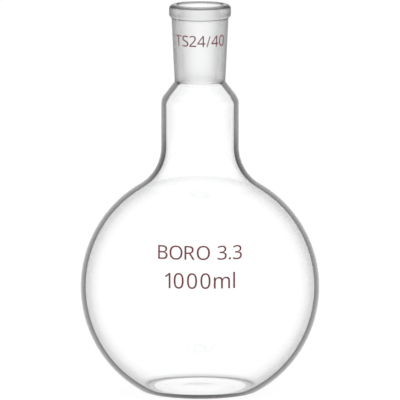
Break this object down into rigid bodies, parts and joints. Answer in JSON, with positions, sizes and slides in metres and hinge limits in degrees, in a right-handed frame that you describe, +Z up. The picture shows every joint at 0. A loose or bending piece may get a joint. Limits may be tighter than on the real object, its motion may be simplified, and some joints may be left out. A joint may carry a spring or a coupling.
{
  "type": "flat bottom boiling flask",
  "caption": "Flat-bottomed glass boiling flask with a round bulb, straight neck, rounded shoulder and a beaded standard taper ground joint, with red fired enamel marks.",
  "frame": {"origin": "centre of the flat base, on the plane that the flask stands on", "axes": "+Z up the flask's axis, through the neck and the joint's mouth; the printed marks face -Y; +X to the right of the marks"},
  "size_m": [0.131, 0.1311, 0.2137],
  "materials": {
    "blown_glass": "clear fire-polished borosilicate glass",
    "ground_glass": "clear outside, with a fine ground taper inside",
    "red_enamel": "fired screen-printed enamel, satin"
  },
  "bodies": {
    "root": {"flask_blank": "blown_glass", "ground_joint": "ground_glass", "capacity_thousands_digit": "red_enamel", "capacity_hundreds_digit": "red_enamel", "capacity_tens_digit": "red_enamel", "capacity_units_digit": "red_enamel", "capacity_letter_m": "red_enamel", "capacity_letter_l": "red_enamel", "glass_grade_letter_b": "red_enamel", "glass_grade_first_letter_o": "red_enamel", "glass_grade_letter_r": "red_enamel", "glass_grade_second_letter_o": "red_enamel", "glass_grade_whole_digit": "red_enamel", "glass_grade_point": "red_enamel", "glass_grade_tenths_digit": "red_enamel", "joint_size_letter_t": "red_enamel", "joint_size_letter_s": "red_enamel", "joint_size_bore_tens_digit": "red_enamel", "joint_size_bore_units_digit": "red_enamel", "joint_size_slash": "red_enamel", "joint_size_length_tens_digit": "red_enamel", "joint_size_length_units_digit": "red_enamel"}
  },
  "joints": []
}
